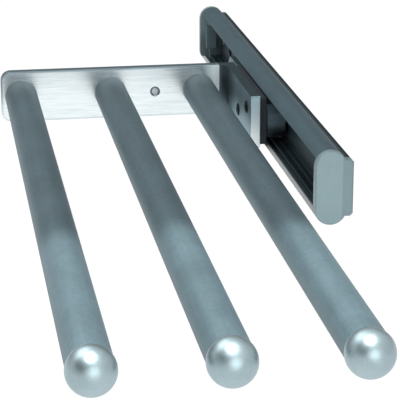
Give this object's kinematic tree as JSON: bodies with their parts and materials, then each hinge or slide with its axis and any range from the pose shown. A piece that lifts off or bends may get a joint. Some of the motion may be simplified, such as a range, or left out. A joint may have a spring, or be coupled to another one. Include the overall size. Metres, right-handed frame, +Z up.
{
  "type": "pull-out towel rail with three arms",
  "caption": "Pull-out towel rail for a cabinet side: ball-ended arms on an L-shaped bracket that slides on a ball-bearing runner in a rounded rail.",
  "frame": {"origin": "on the mounting face, midway between the two mounting holes of the rail", "axes": "+X into the cabinet wall that carries the rail, -Y the way the arms point and pull out, +Z up"},
  "size_m": [0.1375, 0.4911, 0.032],
  "materials": {
    "rail_aluminium": "matt anodised",
    "cap_plastic": "fine matt",
    "runner_steel": "dark zinc plated",
    "rivet_steel": "plain",
    "rubber": "moulded",
    "cage_steel": "yellow zinc plated",
    "bearing_steel": "polished",
    "bar_aluminium": "extruded",
    "spacer_plastic": "moulded",
    "bracket_satin": "bright, brushed along its length",
    "black_screw": "black oxide",
    "tube_anodised": "matt anodised",
    "plug_aluminium": "turned",
    "screw_steel": "zinc plated",
    "ball_satin": "satin"
  },
  "bodies": {
    "rail": {"rail_profile": "rail_aluminium", "front_end_cap": "cap_plastic", "rear_end_cap": "cap_plastic", "fixed_runner": "runner_steel", "upper_ball_track": "runner_steel", "lower_ball_track": "runner_steel", "runner_rivets": "rivet_steel", "front_buffer": "rubber", "rear_buffer": "rubber"},
    "cage": {"ball_cage": "cage_steel", "bearing_balls": "bearing_steel"},
    "carriage": {"carriage_bar": "bar_aluminium", "carriage_spacer": "spacer_plastic", "arm_bracket": "bracket_satin", "bracket_screws": "black_screw", "inner_arm_tube": "tube_anodised", "middle_arm_tube": "tube_anodised", "outer_arm_tube": "tube_anodised", "inner_root_plug": "plug_aluminium", "middle_root_plug": "plug_aluminium", "outer_root_plug": "plug_aluminium", "arm_screws": "screw_steel", "arm_washers": "screw_steel", "inner_ball_end": "ball_satin", "middle_ball_end": "ball_satin", "outer_ball_end": "ball_satin", "plate_buffer": "rubber", "buffer_stud": "screw_steel"}
  },
  "joints": [
    {"name": "pull_out", "type": "slide", "parent": "rail", "child": "carriage", "axis": [0, -1, 0], "range_m": [-0.0785, 0.0945]},
    {"name": "cage_roll", "type": "slide", "parent": "rail", "child": "cage", "axis": [0, -1, 0], "range_m": [-0.03925, 0.04725]}
  ],
  "couplings": [
    {"joint": "cage_roll", "follows": "pull_out", "ratio": 0.5}
  ]
}
